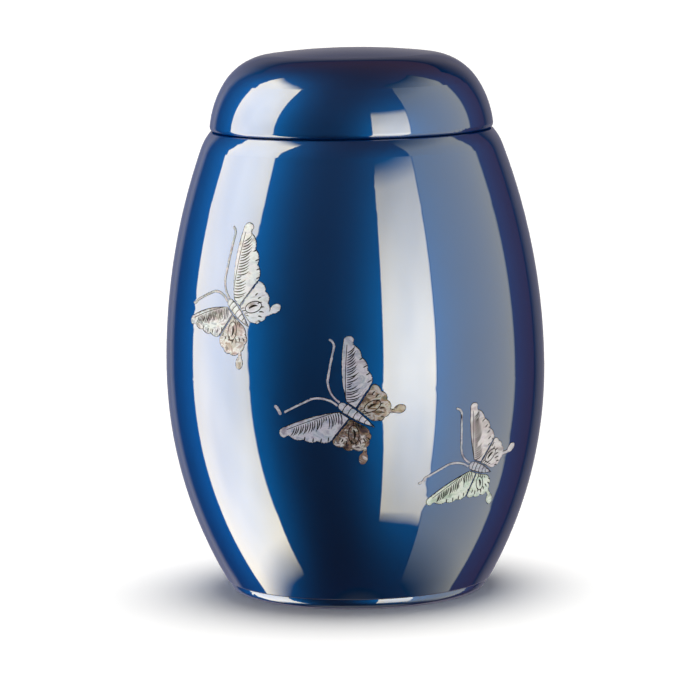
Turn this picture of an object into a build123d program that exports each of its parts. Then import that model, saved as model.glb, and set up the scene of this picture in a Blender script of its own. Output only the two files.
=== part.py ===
from build123d import *
from collections import namedtuple
from math import acos, asin, atan2, cos, degrees, hypot, radians, sin, sqrt
import os

# Barrel-shaped urn with a lift-off domed lid and shell inlays. Millimetres, +Z up,
# origin on the axis at the plane it stands on, front towards -Y.

# overall sizes
belly_d = 190.0
body_h = 231.5               # up to the ledge that the lid rests on
lid_h = 40.5                 # above that ledge
wall = 4.0

# body outline
belly_z = 112.6              # height of the widest line
ledge_d = 141.0
ledge_lean = 41.0            # lean of the wall where it meets the ledge, degrees
shoulder_r = 26.1
lower_r = 216.4
body_edge_r = 1.2

# foot
foot_h = 5.4
foot_step = 1.8              # how far the wall overhangs the foot ring
foot_round = 4.4
foot_width = 9.0
foot_recess = 2.5
foot_edge_r = 1.0

# collar inside the lid
collar_h = 6.0
collar_wall = 3.5
lid_clear = 0.5
collar_round = 1.0

# lid
lid_overhang = 0.55          # beyond the ledge
side_over = 9.0              # radius of the side arc beyond the lid's height
side_drop = 2.45             # its centre below the ledge
corner_r = 30.2
crown_r = 331.0
lid_edge_r = 2.6

# inlays
inlay_deep = 0.9
inlay_proud = 0.12
seam_line = 0.28             # lacquer line left between neighbouring shell pieces
thorax_w = 5.0
abdomen_w = 3.6
head_r = 2.1
feeler_w = 1.3
tail_w = 2.1
bulb_r = 2.2
bulb_long = 3.1
scallops = 3

# One side of a butterfly, in its own plane, X towards the head and Y outwards.
# reach and spread place the forewing's tip, depth its hem; size, bow and tail shape the
# hindwing; knee and end are points the feeler passes through, hook the turn at its end.
Side = namedtuple("Side", "reach spread depth size bow tail knee end hook")

turned_in = (3.4, 1.5)
turned_out = (1.2, 3.2)
left_up = Side(41.5, 54.6, 0.285, 1.0, 3.0, (-12.7, 16.9), (19.8, 7.4), (30.6, 23.4), turned_in)
left_down = Side(32.5, 59.5, 0.36, 1.16, 4.4, (-17.5, 16.5), (19.0, 4.6), (24.6, 16.4), turned_out)
middle_up = Side(35.9, 58.2, 0.312, 1.0, 2.0, (-15.6, 13.9), (21.4, 7.2), (27.4, 22.0), turned_in)
middle_down = Side(35.5, 55.5, 0.312, 1.0, 2.2, (-14.1, 15.9), (22.4, 5.2), (29.3, 18.2), None)
right_up = Side(32.6, 64.5, 0.38, 1.0, 1.8, (-17.9, 14.4), (17.4, 7.8), (23.4, 22.2), turned_in)
right_down = Side(30.4, 55.8, 0.33, 0.88, 1.2, (-14.9, 12.9), (20.4, 3.6), (28.6, 13.4), turned_out)

# chip of shell that has parted from the end of a feeler
chip_of = "middle"
chip_ends = ((30.9, 20.3), (34.3, 18.8))
chip_w = 1.7

# name, azimuth, height, heading, body length, right side, left side
butterflies = [
    ("left", -127.3, 149.0, 136.6, 17.9, left_up, left_down),
    ("middle", -89.9, 101.0, 145.9, 20.7, middle_up, middle_down),
    ("right", -48.6, 70.2, 160.1, 16.3, right_up, right_down),
]

belly_r = belly_d / 2
ledge_r = ledge_d / 2
lid_r = ledge_r + lid_overhang
lid_top = body_h + lid_h
side_r = lid_h + side_over


def polar(centre, radius, angle):
    """Point on a circle, angle in degrees from +X towards +Z."""
    a = radians(angle)
    return (centre[0] + radius * cos(a), centre[1] + radius * sin(a))


def heading(a, b):
    return degrees(atan2(b[1] - a[1], b[0] - a[0]))


def sweep(centre, radius, start, end):
    """Arc edge between two angles."""
    mid = (start + end) / 2
    return ThreePointArc(
        polar(centre, radius, start), polar(centre, radius, mid), polar(centre, radius, end)
    )


# upper flank: level with the axis at the belly, tangent to the shoulder arc
shoulder_c = polar((ledge_r, body_h), -shoulder_r, ledge_lean)
rise = shoulder_c[1] - belly_z
gap_r = belly_r - shoulder_c[0]
upper_r = (gap_r**2 + rise**2 - shoulder_r**2) / (2 * (gap_r - shoulder_r))
upper_c = (belly_r - upper_r, belly_z)
lower_c = (belly_r - lower_r, belly_z)
join_angle = heading(upper_c, shoulder_c)


def flank_radius(z, inset=0.0):
    """Radius of the wall's surface, inset mm inside the outside one, at a height."""
    if z < belly_z:
        return lower_c[0] + sqrt((lower_r - inset) ** 2 - (z - belly_z) ** 2)
    return upper_c[0] + sqrt((upper_r - inset) ** 2 - (z - belly_z) ** 2)


def lower_angle(z, inset=0.0):
    return degrees(asin((z - belly_z) / (lower_r - inset)))


# lid: side arc, corner arc and crown arc, each tangent to the next
side_c = (lid_r - side_r, body_h - side_drop)
crown_c = (0.0, lid_top - crown_r)


def corner_centre():
    near = side_r - corner_r
    far = crown_r - corner_r
    span = hypot(side_c[0] - crown_c[0], side_c[1] - crown_c[1])
    turn = degrees(acos((near**2 + span**2 - far**2) / (2 * near * span)))
    return polar(side_c, near, heading(side_c, crown_c) + turn)


corner_c = corner_centre()
side_end = heading(side_c, corner_c)
corner_end = heading(crown_c, corner_c)


def lid_inside_radius(z):
    inner = side_r - wall
    return side_c[0] + sqrt(inner**2 - (z - side_c[1]) ** 2)


collar_top = body_h + collar_h
collar_r = lid_inside_radius(collar_top) - lid_clear
mouth_r = collar_r - collar_wall


def turned(edges):
    """Solid of revolution from a closed outline drawn in the XZ plane."""
    return revolve(Plane.XZ * make_face(edges), Axis.Z)


def chain(*points):
    return [Line(a, b) for a, b in zip(points, points[1:])]


def flank_layer(outset, inset):
    """Ring of wall between two offsets of the outside, clear of foot and shoulder."""
    low = foot_h + 12
    top = upper_c[1] + upper_r * sin(radians(join_angle))
    rings = []
    for c, r, z0, z1 in ((lower_c, lower_r, low, belly_z), (upper_c, upper_r, belly_z, top)):
        angles = [degrees(asin((z - belly_z) / r)) for z in (z0, z1)]
        out_arc = sweep(c, r + outset, angles[0], angles[1])
        in_arc = sweep(c, r - inset, angles[1], angles[0])
        ends = [Line(out_arc @ 1, in_arc @ 0), Line(in_arc @ 1, out_arc @ 0)]
        rings.append(turned([out_arc, ends[0], in_arc, ends[1]]))
    return rings[0] + rings[1]


def make_body():
    ring_r = flank_radius(foot_h) - foot_step
    start = lower_angle(foot_h)
    floor_z = foot_recess + wall
    under = body_h - wall
    out_low = sweep(lower_c, lower_r, start, 0)
    out_up = sweep(upper_c, upper_r, 0, join_angle)
    out_shoulder = sweep(shoulder_c, shoulder_r, join_angle, ledge_lean)
    in_slope = degrees(asin((under - shoulder_c[1]) / (shoulder_r - wall)))
    in_shoulder = sweep(shoulder_c, shoulder_r - wall, in_slope, join_angle)
    in_up = sweep(upper_c, upper_r - wall, join_angle, 0)
    in_low = sweep(lower_c, lower_r - wall, 0, lower_angle(floor_z, wall))
    foot_arc = sweep((ring_r - foot_round, foot_round), foot_round, -90, 0)
    foot_in = ring_r - foot_round - foot_width
    edges = chain(
        in_low @ 1, (0, floor_z), (0, foot_recess), (foot_in, foot_recess), (foot_in, 0), foot_arc @ 0
    )
    edges += [foot_arc]
    edges += chain(foot_arc @ 1, (ring_r, foot_h), out_low @ 0)
    edges += [out_low, out_up, out_shoulder]
    edges += chain(
        out_shoulder @ 1, (collar_r, body_h), (collar_r, collar_top), (mouth_r, collar_top),
        (mouth_r, under), in_shoulder @ 0,
    )
    edges += [in_shoulder, in_up, in_low]
    body = turned(edges)
    circles = body.edges().filter_by(GeomType.CIRCLE)

    def rings(radius, z):
        return [
            e for e in circles
            if abs(e.radius - radius) < 0.01 and abs(e.arc_center.Z - z) < 0.01
        ]

    body = fillet(rings(ledge_r, body_h) + rings(flank_radius(foot_h), foot_h), body_edge_r)
    circles = body.edges().filter_by(GeomType.CIRCLE)
    body = fillet(rings(collar_r, collar_top) + rings(mouth_r, collar_top), collar_round)
    circles = body.edges().filter_by(GeomType.CIRCLE)
    return fillet(rings(foot_in, 0), foot_edge_r)


def make_lid():
    edge_z = body_h + lid_edge_r
    edge_rise = edge_z - side_c[1]
    edge_c = (side_c[0] + sqrt((side_r - lid_edge_r) ** 2 - edge_rise**2), edge_z)
    side_start = heading(side_c, edge_c)
    in_start = degrees(asin(side_drop / (side_r - wall)))
    edges = [
        sweep(edge_c, lid_edge_r, -90, side_start),
        sweep(side_c, side_r, side_start, side_end),
        sweep(corner_c, corner_r, side_end, corner_end),
        sweep(crown_c, crown_r, corner_end, 90),
        Line((0, lid_top), (0, lid_top - wall)),
        sweep(crown_c, crown_r - wall, 90, corner_end),
        sweep(corner_c, corner_r - wall, corner_end, side_end),
        sweep(side_c, side_r - wall, side_end, in_start),
    ]
    edges.append(Line(edges[-1] @ 1, edges[0] @ 0))
    return turned(edges)


def scalloped(a, b, count, bulge, bow):
    """Row of arcs from a to b bulging to the right; the row itself bows that way too."""
    dx, dy = b[0] - a[0], b[1] - a[1]
    length = hypot(dx, dy)
    points = []
    for i in range(count + 1):
        t = i / count
        lift = 4 * bow * t * (1 - t) / length
        points.append((a[0] + dx * t + dy * lift, a[1] + dy * t - dx * lift))
    arcs = []
    for p, q in zip(points, points[1:]):
        ex, ey = q[0] - p[0], q[1] - p[1]
        mid = ((p[0] + q[0]) / 2 + ey * bulge, (p[1] + q[1]) / 2 - ex * bulge)
        arcs.append(ThreePointArc(p, mid, q))
    return arcs


def at(base, reach, spread, u, v):
    """Point u along and v behind the line that leaves the body at an angle."""
    a = radians(spread)
    x = base + reach * (u * cos(a) - v * sin(a))
    y = reach * (u * sin(a) + v * cos(a))
    return (x, y)


def forewing(half, side):
    """Forewing outline, with the hem and rear points the hindwing starts from."""
    root = thorax_w / 2 + seam_line
    base = 0.5 * half
    front = (0.78 * half, root)
    rear = (0.22 * half, root)

    def spot(u, v):
        return at(base, side.reach, side.spread, u, v)

    lead = spot(0.92, -0.08)
    turn = spot(0.95, 0.065)
    waist = spot(0.88, 0.06)
    hem = spot(0.365, side.depth)
    edges = [ThreePointArc(front, spot(0.5, -0.092), lead)]
    edges += [ThreePointArc(lead, spot(1.0, -0.01), turn)]
    edges += [ThreePointArc(turn, spot(0.915, 0.052), waist)]
    edges += scalloped(waist, hem, scallops, 0.17, 0.03 * side.reach)
    edges += chain(hem, rear, front)
    return make_face(edges), hem, rear


def hindwing(half, side, hem, rear):
    """Hindwing tucked behind the forewing's hem, with a knobbed tail."""
    root = abdomen_w / 2 + seam_line
    span = hypot(hem[0] - rear[0], hem[1] - rear[1])
    back = ((rear[1] - hem[1]) / span, (hem[0] - rear[0]) / span)
    front = (rear[0] + back[0] * seam_line, rear[1] + back[1] * seam_line)
    top = (hem[0] + back[0] * seam_line, hem[1] + back[1] * seam_line)
    heel = (-12.0 * side.size, 10.8 * side.size)
    low = (-9.6 * side.size, 3.4 * side.size)
    inner = (-0.56 * half, root)
    edges = [Line(front, top)]
    edges += scalloped(top, heel, 3, 0.23, side.bow)
    edges += scalloped(heel, low, 2, 0.22, 0.9 * side.size)
    edges += scalloped(low, inner, 1, 0.14, 0)
    edges += chain(inner, front)
    start = (heel[0] * 0.84, heel[1] * 0.94)
    dx, dy = side.tail[0] - start[0], side.tail[1] - start[1]
    knee = (start[0] + 0.5 * dx - 0.12 * dy, start[1] + 0.5 * dy + 0.12 * dx)
    tail = SlotArc(ThreePointArc(start, knee, side.tail), tail_w)
    bulb = Pos(*side.tail) * Rot(0, 0, heading(knee, side.tail)) * Ellipse(bulb_long, bulb_r)
    return make_face(edges) + tail + bulb


def insect_body(half):
    """Round head, straight-sided thorax and tapering abdomen in one outline."""
    side = [(0.8 * half, 0.7 * head_r), (0.66 * half, thorax_w / 2), (-0.1 * half, 0.44 * thorax_w)]
    side += [(-0.56 * half, 0.38 * abdomen_w), (-half, 0.2)]
    other = [(x, -y) for x, y in reversed(side)]
    trunk = make_face(chain(*side, *other, side[0]))
    return trunk + Pos(half - head_r, 0) * Circle(head_r)


def feeler(half, side):
    """Feeler out of the head, bending away at its knee and hooked at its end."""
    start = (half + 0.65, 0.95)
    kx, ky = side.knee
    ex, ey = side.end
    near = (0.5 * (start[0] + kx) + 1.15, 0.5 * (start[1] + ky) - 1.15)
    far = (0.5 * (kx + ex) + 0.1, 0.5 * (ky + ey) - 0.1)
    strip = SlotArc(ThreePointArc(start, near, side.knee), feeler_w)
    strip += SlotArc(ThreePointArc(side.knee, far, side.end), feeler_w)
    if side.hook is None:
        return strip
    hx, hy = side.hook
    middle = (ex + 0.5 * hx - 0.15 * hy, ey + 0.5 * hy + 0.15 * hx)
    return strip + SlotArc(ThreePointArc(side.end, middle, (ex + hx, ey + hy)), feeler_w)


def chip():
    (ax, ay), (bx, by) = chip_ends
    middle = ((ax + bx) / 2, (ay + by) / 2 - 0.2)
    return SlotArc(ThreePointArc((ax, ay), middle, (bx, by)), chip_w)


def butterfly(half, right, left):
    """Flat outlines of one butterfly's shell pieces, keyed by name."""
    faces = {"body": insect_body(half)}
    for name, side in (("right", right), ("left", left)):
        fore, hem, rear = forewing(half, side)
        hind = hindwing(half, side, hem, rear)
        for part, face in (("fore", fore), ("hind", hind), ("feeler", feeler(half, side))):
            faces[part + "_" + name] = face if name == "left" else mirror(face, Plane.XZ)
    return faces


def place(azimuth, height, turn):
    """Plane touching the wall, X along the butterfly and Z out of the wall."""
    centre = upper_c if height > belly_z else lower_c
    radius = flank_radius(height)
    lean = atan2(height - centre[1], radius - centre[0])
    a = radians(azimuth)
    t = radians(turn)
    normal = Vector(cos(a) * cos(lean), sin(a) * cos(lean), sin(lean))
    across = Vector(-sin(a), cos(a), 0)
    up = normal.cross(across)
    return Plane(
        origin=(radius * cos(a), radius * sin(a), height),
        x_dir=across * cos(t) + up * sin(t),
        z_dir=normal,
    )


def make_inlays():
    """Every shell piece and the pocket it is let into."""
    plate = flank_layer(inlay_proud, inlay_deep)
    pocket = flank_layer(2 * wall, inlay_deep)
    pieces = {}
    pockets = []
    for name, azimuth, height, turn, length, right, left in butterflies:
        plane = place(azimuth, height, turn)
        faces = butterfly(length / 2, right, left)
        if name == chip_of:
            faces["chip"] = chip()
        for part, face in faces.items():
            column = extrude(plane * Pos(0, 0, -20) * face, amount=20 + wall, dir=plane.z_dir)
            pieces["inlay_" + name + "_" + part] = plate & column
            pockets.append(pocket & column)
    return pieces, pockets


def main():
    os.makedirs("parts", exist_ok=True)
    pieces, pockets = make_inlays()
    pieces["urn_lid"] = make_lid()
    pieces["urn_body"] = make_body() - pockets
    for name, solid in pieces.items():
        solid.label = name
        export_step(solid, "parts/" + name + ".step")


if __name__ == "__main__":
    main()
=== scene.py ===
import random
from math import asin, atan2, cos, degrees, hypot, pi, radians, sin

import bmesh
import bpy
import numpy as np
from mathutils import Matrix, Vector
from mathutils.bvhtree import BVHTree


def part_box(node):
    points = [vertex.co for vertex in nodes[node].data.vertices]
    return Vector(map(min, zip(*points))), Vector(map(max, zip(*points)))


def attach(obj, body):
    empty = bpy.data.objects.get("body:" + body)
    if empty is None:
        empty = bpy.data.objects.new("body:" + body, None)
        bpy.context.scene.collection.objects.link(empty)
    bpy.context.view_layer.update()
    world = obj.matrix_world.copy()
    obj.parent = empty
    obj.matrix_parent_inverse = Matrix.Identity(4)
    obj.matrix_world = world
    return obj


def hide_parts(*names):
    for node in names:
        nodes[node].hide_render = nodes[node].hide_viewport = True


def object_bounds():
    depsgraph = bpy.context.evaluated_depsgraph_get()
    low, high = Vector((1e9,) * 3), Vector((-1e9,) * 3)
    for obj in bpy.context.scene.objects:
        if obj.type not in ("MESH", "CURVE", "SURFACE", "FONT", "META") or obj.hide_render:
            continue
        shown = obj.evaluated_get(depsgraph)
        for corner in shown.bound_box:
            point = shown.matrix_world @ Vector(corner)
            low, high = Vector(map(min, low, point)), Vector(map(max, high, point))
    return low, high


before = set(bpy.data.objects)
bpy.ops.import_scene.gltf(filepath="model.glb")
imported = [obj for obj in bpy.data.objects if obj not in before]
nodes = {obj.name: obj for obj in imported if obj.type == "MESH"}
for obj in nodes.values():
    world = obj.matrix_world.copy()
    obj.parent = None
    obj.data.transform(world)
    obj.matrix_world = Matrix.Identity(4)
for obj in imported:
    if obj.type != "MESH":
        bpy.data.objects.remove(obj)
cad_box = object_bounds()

# Lengths are in metres, angles in degrees. The urn stands on z = 0 with its front
# towards -Y; a bearing is 0 at the front and grows towards +X.

MM = 0.001
random.seed(11)


def bearing(azimuth, elevation):
    """Direction from the urn's axis, level bearing first."""
    a, e = radians(azimuth), radians(elevation)
    return Vector((sin(a) * cos(e), -cos(a) * cos(e), sin(e)))


# ---------------------------------------------------------------- finishes


def finish(name):
    """New material with its node tree and its Principled shader."""
    made = bpy.data.materials.new(name)
    made.use_nodes = True
    tree = made.node_tree
    return made, tree, tree.nodes["Principled BSDF"]


def add(tree, kind, **values):
    """Node of a kind; values go to the inputs of that name, or else to the node itself."""
    node = tree.nodes.new(kind)
    for key, value in values.items():
        socket = key.replace("_", " ")
        if socket in node.inputs:
            node.inputs[socket].default_value = value
        else:
            setattr(node, key, value)
    return node


def place_pattern(tree, scale, shift=(0, 0, 0), turn=(0, 0, 0)):
    """Object coordinates run through a Mapping node."""
    where = add(tree, "ShaderNodeTexCoord")
    mapping = add(tree, "ShaderNodeMapping", Scale=scale, Location=shift, Rotation=turn)
    tree.links.new(where.outputs["Object"], mapping.inputs["Vector"])
    return mapping.outputs["Vector"]


def noise(tree, where, scale, detail=3.0, roughness=0.5, distortion=0.0):
    """Soft noise between 0 and 1."""
    node = add(
        tree, "ShaderNodeTexNoise", Scale=scale, Detail=detail, Roughness=roughness,
        Distortion=distortion,
    )
    tree.links.new(where, node.inputs["Vector"])
    return node.outputs["Fac"]


def ramp(tree, value, stops):
    """Colour ramp through (position, colour) stops."""
    node = add(tree, "ShaderNodeValToRGB")
    points = node.color_ramp.elements
    while len(points) < len(stops):
        points.new(0.5)
    for point, (position, colour) in zip(points, stops):
        point.position = position
        point.color = (*colour, 1.0)
    tree.links.new(value, node.inputs["Fac"])
    return node.outputs["Color"]


def level(tree, value, span, out):
    """Stretch a span of values to the out span, clamped at both ends."""
    node = add(tree, "ShaderNodeMapRange")
    for key, number in zip(("From Min", "From Max", "To Min", "To Max"), (*span, *out)):
        node.inputs[key].default_value = number
    tree.links.new(value, node.inputs["Value"])
    return node.outputs["Result"]


def bump(tree, height, distance, strength):
    """Normal for a fine relief, its distance in metres."""
    node = add(tree, "ShaderNodeBump", Strength=strength, Distance=distance)
    tree.links.new(height, node.inputs["Height"])
    return node.outputs["Normal"]


def candy_lacquer():
    """Deep blue metallic base under a thick clear coat with a trace of orange peel."""
    made, tree, shader = finish("blue lacquer")
    where = place_pattern(tree, (1, 1, 1))
    cloud = noise(tree, where, scale=14.0, detail=2.0)
    tint = ramp(tree, cloud, [(0.3, (0.0004, 0.056, 0.262)), (0.7, (0.0007, 0.063, 0.290))])
    flake = noise(tree, where, scale=5200.0, detail=1.0)
    rough = level(tree, flake, span=(0.3, 0.7), out=(0.48, 0.53))
    peel = noise(tree, where, scale=150.0, detail=1.0)
    relief = bump(tree, peel, distance=0.02 * MM, strength=0.25)
    tree.links.new(tint, shader.inputs["Base Color"])
    tree.links.new(rough, shader.inputs["Roughness"])
    tree.links.new(relief, shader.inputs["Coat Normal"])
    shader.inputs["Metallic"].default_value = 0.965
    shader.inputs["Specular IOR Level"].default_value = 0.0
    shader.inputs["Specular Tint"].default_value = (0.0, 0.16, 0.55, 1.0)
    # A real coat reflects most at a slant; here that is held back, so the rims keep their blue.
    slant = add(tree, "ShaderNodeLayerWeight", Blend=0.5)
    gloss = level(tree, slant.outputs["Facing"], span=(0.5, 0.84), out=(1.0, 0.22))
    tree.links.new(gloss, shader.inputs["Coat Weight"])
    shader.inputs["Coat Roughness"].default_value = 0.012
    shader.inputs["Coat IOR"].default_value = 1.9
    return made


def nacre(name, stops, shift, grain=1.0):
    """Mother-of-pearl: drifting bands of colour, fine growth lines and a clear coat."""
    made, tree, shader = finish(name)
    where = place_pattern(tree, (1, 1, 1.6), shift, (0.4, 0.9, 0.3))
    drift = noise(tree, where, 95.0 * grain, detail=4.0, roughness=0.55, distortion=1.4)
    tint = ramp(tree, drift, stops)
    growth = add(
        tree, "ShaderNodeTexWave", Scale=420.0 * grain, Distortion=9.0, Detail=3.0,
        Detail_Scale=1.4, wave_type="BANDS", bands_direction="DIAGONAL",
    )
    tree.links.new(where, growth.inputs["Vector"])
    shade = add(tree, "ShaderNodeMix", data_type="RGBA", blend_type="MULTIPLY")
    lines = ramp(tree, growth.outputs["Fac"], [(0.0, (0.86, 0.86, 0.88)), (0.6, (1, 1, 1))])
    shade.inputs["Factor"].default_value = 0.7
    tree.links.new(tint, shade.inputs[6])
    tree.links.new(lines, shade.inputs[7])
    tree.links.new(shade.outputs[2], shader.inputs["Base Color"])
    film = noise(tree, where, 160.0 * grain, detail=2.0, distortion=0.8)
    film_nm = level(tree, film, span=(0.25, 0.75), out=(260.0, 520.0))
    rough = level(tree, drift, span=(0.3, 0.7), out=(0.36, 0.52))
    relief = bump(tree, growth.outputs["Fac"], distance=0.03 * MM, strength=0.3)
    tree.links.new(film_nm, shader.inputs["Thin Film Thickness"])
    tree.links.new(rough, shader.inputs["Roughness"])
    tree.links.new(relief, shader.inputs["Normal"])
    shader.inputs["Thin Film IOR"].default_value = 1.6
    shader.inputs["Metallic"].default_value = 0.05
    shader.inputs["Specular IOR Level"].default_value = 0.8
    shader.inputs["Specular Tint"].default_value = (0.70, 0.82, 1.0, 1.0)
    shader.inputs["Coat Weight"].default_value = 0.15
    shader.inputs["Coat Roughness"].default_value = 0.12
    return made


def engraving_ink():
    """Dark stain rubbed into the engraved lines; the same dark is also the painted shade on each
    plate's rim chamfer.
    """
    made, tree, shader = finish("engraving stain")
    where = place_pattern(tree, (1, 1, 1))
    patch = noise(tree, where, scale=700.0, detail=2.0)
    tint = ramp(tree, patch, [(0.3, (0.005, 0.004, 0.005)), (0.8, (0.030, 0.023, 0.022))])
    rough = level(tree, patch, span=(0.3, 0.7), out=(0.75, 0.95))
    tree.links.new(tint, shader.inputs["Base Color"])
    tree.links.new(rough, shader.inputs["Roughness"])
    shader.inputs["Specular IOR Level"].default_value = 0.05
    return made


# Colours of each kind of shell, by where its drifting bands stand between 0 and 1.
silver = [
    (0.26, (0.15, 0.14, 0.22)), (0.40, (0.38, 0.36, 0.46)), (0.51, (0.56, 0.56, 0.64)),
    (0.62, (0.30, 0.34, 0.46)), (0.76, (0.64, 0.62, 0.62)),
]
white = [
    (0.28, (0.28, 0.23, 0.25)), (0.39, (0.66, 0.67, 0.74)), (0.52, (0.80, 0.84, 0.94)),
    (0.64, (0.64, 0.70, 0.82)), (0.76, (0.40, 0.32, 0.32)),
]
smoky = [
    (0.30, (0.12, 0.11, 0.15)), (0.41, (0.42, 0.39, 0.47)), (0.50, (0.76, 0.80, 0.90)),
    (0.57, (0.32, 0.35, 0.47)), (0.68, (0.80, 0.84, 0.93)),
]
blush = [
    (0.32, (0.15, 0.10, 0.10)), (0.42, (0.36, 0.28, 0.29)), (0.50, (0.74, 0.77, 0.84)),
    (0.58, (0.42, 0.34, 0.35)), (0.68, (0.80, 0.84, 0.92)),
]
tawny = [
    (0.36, (0.05, 0.026, 0.014)), (0.43, (0.20, 0.115, 0.058)), (0.49, (0.38, 0.40, 0.43)),
    (0.55, (0.33, 0.27, 0.23)), (0.62, (0.09, 0.046, 0.024)),
]
bronze = [
    (0.38, (0.011, 0.006, 0.006)), (0.44, (0.090, 0.044, 0.028)), (0.50, (0.26, 0.165, 0.115)),
    (0.54, (0.034, 0.017, 0.013)), (0.62, (0.56, 0.53, 0.53)),
]
green = [
    (0.24, (0.16, 0.24, 0.19)), (0.40, (0.46, 0.56, 0.46)), (0.52, (0.80, 0.85, 0.78)),
    (0.64, (0.50, 0.62, 0.54)), (0.80, (0.86, 0.84, 0.84)),
]
rosy = [
    (0.24, (0.26, 0.19, 0.21)), (0.42, (0.56, 0.49, 0.52)), (0.56, (0.80, 0.76, 0.78)),
    (0.68, (0.54, 0.50, 0.57)), (0.82, (0.84, 0.80, 0.78)),
]
lacquer = candy_lacquer()
ink_and_rim_shade = engraving_ink()
shells = {
    "white": nacre("white nacre", white, (0.3, 0.1, 0.2)),
    "smoky": nacre("smoky nacre", smoky, (0.4, 0.2, 0.7)),
    "blush": nacre("blush nacre", blush, (0.5, 0.9, 0.3), 1.2),
    "silver": nacre("silver nacre", silver, (0.7, 0.5, 0.1)),
    "tawny": nacre("tawny nacre", tawny, (0.2, 0.8, 0.4), 1.2),
    "bronze": nacre("bronze nacre", bronze, (0.6, 0.4, 0.8), 1.5),
    "green": nacre("green nacre", green, (0.9, 0.3, 0.6)),
    "rosy": nacre("rosy nacre", rosy, (0.1, 0.6, 0.9)),
}
shell_of = {
    "left": {
        "body": "white", "fore_right": "white", "fore_left": "smoky",
        "hind_right": "white", "hind_left": "blush",
    },
    "middle": {"hind_right": "tawny", "hind_left": "bronze"},
    "right": {
        "fore_left": "green", "hind_left": "green", "fore_right": "rosy", "hind_right": "rosy",
    },
}

# ---------------------------------------------------------------- engraving

groove_depth = 0.22 * MM
cutter_headroom = 0.4 * MM      # how far a cutter stands above the plate
plate_rim = 0.46 * MM           # chamfer round wings and bodies, dark: painted shade at the plate's edge
feeler_rim = 0.22 * MM          # chamfer round feelers and the chip, dark: painted shade at the plate's edge
line_width = 0.36 * MM          # behind a forewing's leading edge
hatch_width = 0.58 * MM
dash_width = 0.64 * MM
short_dash_width = 0.50 * MM
eye_width = 0.46 * MM           # the oval on a hindwing
leaf_width = 1.2 * MM           # inside that oval
fan_width = 0.66 * MM
root_dash_width = 0.48 * MM     # where a hindwing meets the body
body_ring_width = 0.42 * MM
stroke_points = 5
ring_points = 28
shared_corner = 0.002 * MM      # corners nearer than this are one
sharp_fold = 0.8                # cosine between two faces that meet in an edge
facing_out = 0.6                # cosine between a face and the way out of the wall


def butterfly_frame(name):
    """Local frame of a butterfly, X towards its head and Z out of the wall, and half its body."""
    points = np.array([v.co[:] for v in nodes[f"inlay_{name}_body"].data.vertices])
    centre = points.mean(0)
    axes = np.linalg.eigh(np.cov((points - centre).T))[1]
    out, along = Vector(axes[:, 0]), Vector(axes[:, 2])
    middle = Vector(centre)
    if out.dot(Vector((middle.x, middle.y, 0))) < 0:
        out = -out
    low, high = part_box(f"inlay_{name}_feeler_right")
    if along.dot((low + high) / 2 - middle) < 0:
        along = -along
    reach = (points - centre) @ np.array(along)
    origin = middle + along * (reach.max() + reach.min()) / 2
    turned = Matrix((along, out.cross(along), out)).transposed().to_4x4()
    return Matrix.Translation(origin) @ turned, (reach.max() - reach.min()) / 2


def piece_from(bm, name, materials):
    """Object from a bmesh, which it uses up."""
    mesh = bpy.data.meshes.new(name)
    bm.to_mesh(mesh)
    bm.free()
    for material in materials:
        mesh.materials.append(material)
    return bpy.data.objects.new(name, mesh)


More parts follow.
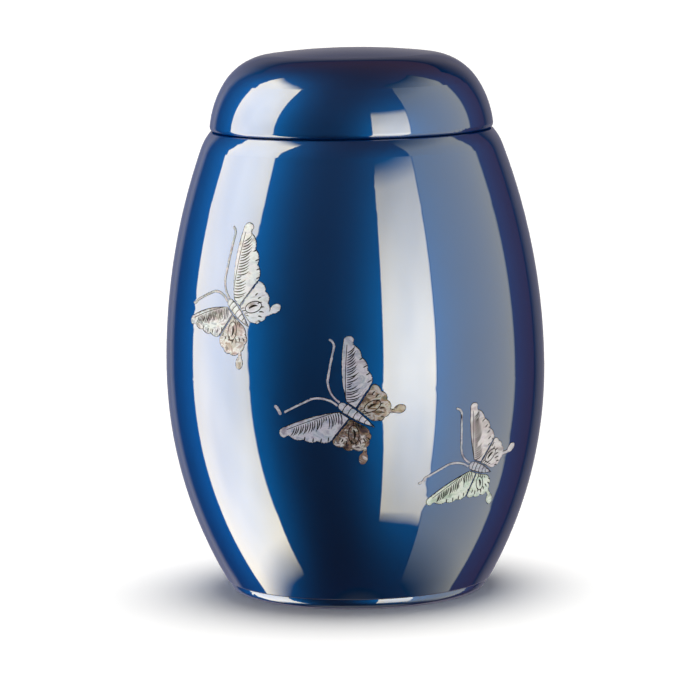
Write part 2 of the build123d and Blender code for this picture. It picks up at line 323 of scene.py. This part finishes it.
class Engraver:
    """Collects the grooves of one shell plate and cuts them out of a copy of it."""

    def __init__(self, node, local):
        self.node = node
        self.local = local
        self.back = local.inverted()
        self.plate = bmesh.new()
        self.plate.from_mesh(nodes[node].data)
        bmesh.ops.remove_doubles(self.plate, verts=self.plate.verts, dist=shared_corner)
        self.skin = BVHTree.FromBMesh(self.plate)
        self.cutter = bmesh.new()

    def points(self):
        """The plate's corners in the butterfly's frame."""
        return [self.back @ v.co for v in self.plate.verts]

    def outward(self):
        """Direction out of the wall at this butterfly."""
        return self.local.to_3x3() @ Vector((0, 0, 1))

    def on_skin(self, x, y):
        """Point of the plate's face over a place in the butterfly's plane."""
        above = self.local @ Vector((x, y, 10 * MM))
        hit = self.skin.ray_cast(above, -self.outward(), 50 * MM)[0]
        if hit is None:
            hit = self.skin.find_nearest(self.local @ Vector((x, y, 0)))[0]
        return hit

    def groove(self, path, widths, closed=False):
        """One cut along a path of places, as wide at each place as widths says."""
        count = len(path)
        out = self.outward()
        pairs = []
        for i, (x, y) in enumerate(path):
            before = path[(i - 1) % count] if closed or i else path[0]
            after = path[(i + 1) % count] if closed or i < count - 1 else path[-1]
            dx, dy = after[0] - before[0], after[1] - before[1]
            size = hypot(dx, dy) or 1.0
            nx, ny = -dy / size * widths[i] / 2, dx / size * widths[i] / 2
            ends = [self.on_skin(x + k * nx, y + k * ny) - out * groove_depth for k in (1, -1)]
            pairs.append([self.cutter.verts.new(p) for p in ends])
        last = count if closed else count - 1
        faces = []
        for i in range(last):
            a, b = pairs[i], pairs[(i + 1) % count]
            faces.append(self.cutter.faces.new((a[0], a[1], b[1], b[0])))
        grown = bmesh.ops.extrude_face_region(self.cutter, geom=faces)["geom"]
        lifted = [v for v in grown if isinstance(v, bmesh.types.BMVert)]
        height = groove_depth + cutter_headroom
        bmesh.ops.translate(self.cutter, verts=lifted, vec=out * height)

    def stroke(self, start, end, width, bend=0.0):
        """Leaf-shaped cut, thin at both ends and bent sideways by a share of its length."""
        path, widths = [], []
        dx, dy = end[0] - start[0], end[1] - start[1]
        for i in range(stroke_points):
            t = i / (stroke_points - 1)
            side = 4 * bend * t * (1 - t)
            path.append((start[0] + dx * t - dy * side, start[1] + dy * t + dx * side))
            widths.append(width * (0.18 + 0.82 * sin(pi * min(1.0, 0.12 + 0.88 * t)) ** 0.8))
        self.groove(path, widths)

    def ring(self, centre, long, short, turn, width):
        """Oval groove."""
        c, s = cos(turn), sin(turn)
        path = []
        for i in range(ring_points):
            t = 2 * pi * i / ring_points
            x, y = long * cos(t), short * sin(t)
            path.append((centre[0] + x * c - y * s, centre[1] + x * s + y * c))
        self.groove(path, [width] * ring_points, closed=True)

    def finished(self, name, shell, shade_rim_width):
        """The cut plate as a piece, its rim darkened with the stain: painted shade of the gap round
        the plate, partly a dark joint.
        """
        out = self.outward()
        for face in self.plate.faces:
            face.smooth = True
            face.material_index = 0
        rim = []
        for edge in self.plate.edges:
            if len(edge.link_faces) == 2:
                a, b = (f.normal for f in edge.link_faces)
                edge.smooth = a.dot(b) > sharp_fold
                if not edge.smooth and max(a.dot(out), b.dot(out)) > facing_out:
                    rim.append(edge)
        cut = bmesh.ops.bevel(
            self.plate, geom=rim, offset=shade_rim_width, offset_type="OFFSET", affect="EDGES",
            segments=1, profile=0.5, material=-1, clamp_overlap=False,
        )
        # The rim chamfer takes the dark stain: painted shade round the plate, partly a dark joint.
        for face in cut["faces"]:
            face.material_index = 1
        piece = piece_from(self.plate, name, (shell, ink_and_rim_shade))
        bpy.context.scene.collection.objects.link(piece)
        if self.cutter.faces:
            bmesh.ops.recalc_face_normals(self.cutter, faces=self.cutter.faces)
            for face in self.cutter.faces:
                face.material_index = 1
            tool = piece_from(self.cutter, name + "_tool", (shell, ink_and_rim_shade))
            bpy.context.scene.collection.objects.link(tool)
            carve = piece.modifiers.new("grooves", "BOOLEAN")
            carve.operation = "DIFFERENCE"
            carve.object = tool
            carve.solver = "EXACT"
            carve.use_self = True
            view = bpy.context.evaluated_depsgraph_get()
            carved = bpy.data.meshes.new_from_object(piece.evaluated_get(view))
            piece.modifiers.clear()
            piece.data = carved
            bpy.data.objects.remove(tool)
        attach(piece, "root")
        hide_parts(self.node)


def engrave_forewing(work, half, side):
    """Line behind the leading edge, two runs of hatching and a few dashes."""
    base = 0.5 * half
    tip = max(work.points(), key=lambda p: hypot(p.x - base, p.y))
    reach = hypot(tip.x - base, tip.y)
    spread = atan2(abs(tip.y), tip.x - base)

    def spot(u, v):
        """Place u of the way out along the leading edge and v back from it."""
        x = base + reach * (u * cos(spread) - v * sin(spread))
        return x, side * reach * (u * sin(spread) + v * cos(spread))

    steps = 14
    line = []
    for i in range(steps + 1):
        line.append(spot(0.10 + 0.78 * i / steps, -0.030 - 0.012 * sin(pi * i / steps)))
    work.groove(line, [line_width] * (steps + 1))
    hatches = 21
    for i in range(hatches):
        t = i / (hatches - 1)
        u = 0.11 + 0.66 * t
        between_runs = 0.26 < t < 0.38
        gap = 0.45 if between_runs else 1.0
        length = gap * (0.180 - 0.080 * t) * (0.85 + 0.3 * random.random())
        lean = 0.055 + 0.045 * t
        foot = -0.022
        work.stroke(spot(u, foot), spot(u + gap * lean, foot + length), hatch_width, side * 0.10)
    dashes = 7
    for i in range(dashes):
        t = i / (dashes - 1)
        u = 0.68 - 0.60 * t
        v = 0.10 + 0.155 * sin(pi * (0.08 + 0.78 * t))
        work.stroke(spot(u, v), spot(u + 0.035, v + 0.058), dash_width)
        if i in (1, 3, 4):
            work.stroke(spot(u - 0.03, v + 0.075), spot(u, v + 0.11), short_dash_width)


def engrave_hindwing(work, half, side, shift):
    """Oval eye-spot with a leaf inside it, and dashes fanning out to the hem."""
    places = work.points()
    outer = max(abs(p.y) for p in places)
    drawn_for, largest = 17.0 * MM, 1.15
    size = min(largest, outer / drawn_for)
    eye = (-3.4 * MM * size, side * 7.6 * MM * size)
    turn = side * radians(118 + shift)
    work.ring(eye, 4.1 * MM * size, 2.3 * MM * size, turn, eye_width)
    reach = (2.2 * MM * size * cos(turn), 2.2 * MM * size * sin(turn))
    inner = [(eye[0] + k * reach[0], eye[1] + k * reach[1]) for k in (-1, 1)]
    work.stroke(inner[0], inner[1], leaf_width, 0.12)
    fan = 8
    for i in range(fan):
        angle = radians(96 + 74 * i / (fan - 1))
        wave = 0.6 * MM * sin(2.4 * i)
        near = 9.9 * MM * size + wave
        far = near + (1.9 + 0.8 * random.random()) * MM
        work.stroke(
            (near * cos(angle) + 0.6 * MM, side * (near * sin(angle) + 2.0 * MM)),
            (far * cos(angle) + 0.6 * MM, side * (far * sin(angle) + 2.0 * MM)), fan_width, 0.1,
        )
    for i in range(4):
        x = (0.4 - 1.5 * i) * MM
        end = (x - 1.4 * MM, side * (4.8 - 0.3 * i) * MM)
        work.stroke((x, side * 3.0 * MM), end, root_dash_width, 0.1)


def engrave_body(work, half):
    """Rings round the thorax and abdomen."""
    for share, width in ((0.66, 2.3), (0.38, 2.2), (0.08, 2.1), (-0.22, 1.7), (-0.5, 1.2)):
        x = share * half
        bow = 0.4 * MM
        path = [(x + bow * (1 - k * k), width * MM * k) for k in (-1.0, -0.5, 0.0, 0.5, 1.0)]
        work.groove(path, [body_ring_width] * len(path))


def make_butterflies():
    """An engraved copy of every plate, in place of the plain one."""
    for name in ("left", "middle", "right"):
        local, half = butterfly_frame(name)
        family = f"inlay_{name}_"
        for part in sorted(n[len(family):] for n in nodes if n.startswith(family)):
            work = Engraver(family + part, local)
            side = 1 if part.endswith("left") else -1
            if part.startswith("fore"):
                engrave_forewing(work, half, side)
            elif part.startswith("hind"):
                engrave_hindwing(work, half, side, 8 if side > 0 else 0)
            elif part == "body":
                engrave_body(work, half)
            shell = shells[shell_of[name].get(part, "silver")]
            shade_rim_width = feeler_rim if part.startswith(("feeler", "chip")) else plate_rim
            work.finished(f"{name}_{part}_shell", shell, shade_rim_width)


# ---------------------------------------------------------------- studio


def shine(name, colour, strength, clouds=0.0):
    """Glowing surface for the studio, as bright as its glow attribute says."""
    made = bpy.data.materials.new(name)
    made.use_nodes = True
    tree = made.node_tree
    tree.nodes.clear()
    glow = add(tree, "ShaderNodeAttribute", attribute_name="glow")
    patch = noise(tree, place_pattern(tree, (1, 1, 1)), scale=1.6, detail=2.0)
    cloudy = level(tree, patch, span=(0.3, 0.7), out=(1.0 - clouds, 1.0 + clouds))
    full = add(tree, "ShaderNodeMath", operation="MULTIPLY")
    tree.links.new(glow.outputs["Fac"], full.inputs[0])
    full.inputs[1].default_value = strength
    power = add(tree, "ShaderNodeMath", operation="MULTIPLY")
    tree.links.new(full.outputs["Value"], power.inputs[0])
    tree.links.new(cloudy, power.inputs[1])
    light = add(tree, "ShaderNodeEmission", Color=(*colour, 1.0))
    tree.links.new(power.outputs["Value"], light.inputs["Strength"])
    out = add(tree, "ShaderNodeOutputMaterial")
    tree.links.new(light.outputs["Emission"], out.inputs["Surface"])
    return made


def studio_piece(bm, name, material, camera=False, diffuse=False, glossy=True, shadow=False):
    """Piece of the studio, seen only in the ways asked for."""
    made = piece_from(bm, name, (material,))
    bpy.context.scene.collection.objects.link(made)
    made.visible_camera = camera
    made.visible_diffuse = diffuse
    made.visible_glossy = glossy
    made.visible_shadow = shadow
    made.visible_transmission = False
    return made


def fade(place, start, end):
    """1 in the middle of a panel, down to 0 over a share of it at either end."""
    low = min(1.0, place / start) if start else 1.0
    high = min(1.0, (1.0 - place) / end) if end else 1.0
    return max(0.0, min(low, high))


def panel(name, bearings, heights, colour, strength, soft=(0, 0, 0, 0), ends=(1, 1), bulge=0.0,
          lift=0.0, flare=0.0, clouds=0.0, radius=1.3):
    """Light panel curved round the urn between two bearings and two elevations.

    soft is the fading share at its left, right, bottom and top, ends the brightness of its
    left and right ends, bulge what its middle height adds, lift what its top has over its
    bottom, and flare how far its right edge leans out, in degrees at an elevation of 60.
    """
    bm = bmesh.new()
    centre = Vector((0, 0, 0.5 * cad_box[1].z))
    rows = 48
    rim = []
    for i in range(rows + 1):
        elevation = heights[0] + (heights[1] - heights[0]) * i / rows
        rim.append(bm.verts.new(centre + radius * bearing(bearings[0], elevation)))
    side = [bm.edges.new(pair) for pair in zip(rim, rim[1:])]
    bmesh.ops.spin(
        bm, geom=rim + side, cent=centre, axis=(0, 0, 1), steps=rows,
        angle=radians(bearings[1] - bearings[0]), use_merge=False, use_duplicate=False,
    )
    glow = bm.verts.layers.float.new("glow")
    for vert in bm.verts:
        way = (vert.co - centre).normalized()
        elevation = degrees(asin(way.z))
        turn = (degrees(atan2(way.x, -way.y)) - bearings[0] + 1.0) % 360.0 - 1.0
        across = turn / (bearings[1] - bearings[0])
        up = (elevation - heights[0]) / (heights[1] - heights[0])
        level_here = ends[0] + (ends[1] - ends[0]) * across
        level_here *= 1.0 + bulge * (1.0 - abs(2.0 * up - 1.0)) + lift * (up - 0.5)
        vert[glow] = level_here * fade(across, soft[0], soft[1]) * fade(up, soft[2], soft[3])
        lean = Matrix.Rotation(radians(flare * across * (elevation / 60.0) ** 2), 3, "Z")
        vert.co = centre + lean @ (vert.co - centre)
    return studio_piece(bm, name, shine(name, colour, strength, clouds))


def pale_floor():
    """Wide matt floor under the urn."""
    bm = bmesh.new()
    bmesh.ops.create_grid(bm, x_segments=1, y_segments=1, size=30.0)
    made, tree, shader = finish("pale floor")
    where = place_pattern(tree, (1, 1, 1))
    patch = noise(tree, where, scale=3.0)
    tint = ramp(tree, patch, [(0.3, (0.93, 0.92, 0.90)), (0.7, (0.95, 0.94, 0.92))])
    tree.links.new(tint, shader.inputs["Base Color"])
    shader.inputs["Roughness"].default_value = 0.9
    shader.inputs["Specular IOR Level"].default_value = 0.0
    return studio_piece(bm, "floor", made, camera=True, diffuse=True, glossy=False, shadow=True)


def light_panels():
    """What the gloss of the lacquer mirrors."""
    warm = (1.0, 0.87, 0.57)
    panel(
        "left softbox", (-113, -64.4), (-57, 59), warm, strength=7.7, soft=(0.02, 0.02, 0.10, 0.05),
        ends=(0.97, 1.03), bulge=-0.28, lift=-0.1, flare=8.0, clouds=0.12,
    )
    panel(
        "right softbox", (16, 48), (-45, 35), warm, strength=3.6, soft=(0.02, 0.03, 0.04, 0.06),
        ends=(0.95, 1.0), bulge=1.35, lift=-0.4, clouds=0.14,
    )
    panel(
        "right wall", (48.2, 110), (-62, 64), (1.0, 0.94, 0.66), strength=1.1,
        soft=(0, 0.03, 0.14, 0.15), ends=(1.0, 1.6),
    )
    panel(
        "back wall", (135, 221), (-62, 44), (1.0, 0.88, 0.74), strength=1.75,
        soft=(0.3, 0.1, 0.1, 0.31), ends=(0.7, 0.7),
    )
    panel(
        "table", (-180, 180), (-89, -66), (1.0, 0.93, 0.75), strength=0.5, soft=(0, 0, 0, 0.3),
        radius=1.2,
    )


def dark_room():
    """Faint reddish surroundings, brighter overhead and behind the urn on its right."""
    size = 6.0
    bm = bmesh.new()
    bmesh.ops.create_uvsphere(bm, u_segments=32, v_segments=32, radius=size)
    glow = bm.verts.layers.float.new("glow")
    for vert in bm.verts:
        overhead = max(0.0, vert.co.z / size)
        behind = max(0.0, (vert.co.x + vert.co.y) / 8.5)
        vert[glow] = 0.25 + 0.5 * overhead + behind
    studio_piece(bm, "dark room", shine("dark room", (1.0, 0.42, 0.34), 0.16))


def floor_light(floor):
    """Wide sun from above that lights the floor alone, for the soft shadow under the urn."""
    top = bpy.data.objects.new("top light", bpy.data.lights.new("top light", "SUN"))
    top.data.energy = 3.0
    top.data.angle = radians(42)
    top.rotation_euler = (radians(-6), radians(1.5), 0)
    top.visible_glossy = False
    bpy.context.scene.collection.objects.link(top)
    only_floor = bpy.data.collections.new("lit from above")
    only_floor.objects.link(floor)
    top.light_linking.receiver_collection = only_floor


def studio_air():
    """Even white light on every matt surface, not mirrored by the lacquer."""
    world = bpy.data.worlds.new("studio air")
    bpy.context.scene.world = world
    world.use_nodes = True
    world.node_tree.nodes["Background"].inputs["Color"].default_value = (1, 1, 1, 1)
    world.node_tree.nodes["Background"].inputs["Strength"].default_value = 0.33
    world.cycles_visibility.glossy = False


def make_camera():
    """Long lens, a little above the urn and looking slightly down."""
    distance, height, aside = 1.949, 0.3831, -0.0026
    pitch, roll = radians(7.68), radians(0.96)
    right = Vector((1, 0, 0))
    ahead = Vector((0, cos(pitch), -sin(pitch)))
    up = Vector((0, sin(pitch), cos(pitch)))
    across = right * cos(roll) - up * sin(roll)
    above = right * sin(roll) + up * cos(roll)
    data = bpy.data.cameras.new("camera")
    data.lens = 201.1
    data.sensor_width = 36.0
    data.clip_end = 100.0
    camera = bpy.data.objects.new("camera", data)
    turned = Matrix((across, above, -ahead)).transposed().to_4x4()
    camera.matrix_world = Matrix.Translation((aside, -distance, height)) @ turned
    bpy.context.scene.collection.objects.link(camera)
    bpy.context.scene.camera = camera


for vessel in ("urn_body", "urn_lid"):
    nodes[vessel].material_slots[0].material = lacquer
make_butterflies()
floor = pale_floor()
light_panels()
dark_room()
floor_light(floor)
studio_air()
bpy.context.scene.view_settings.view_transform = "Standard"
make_camera()
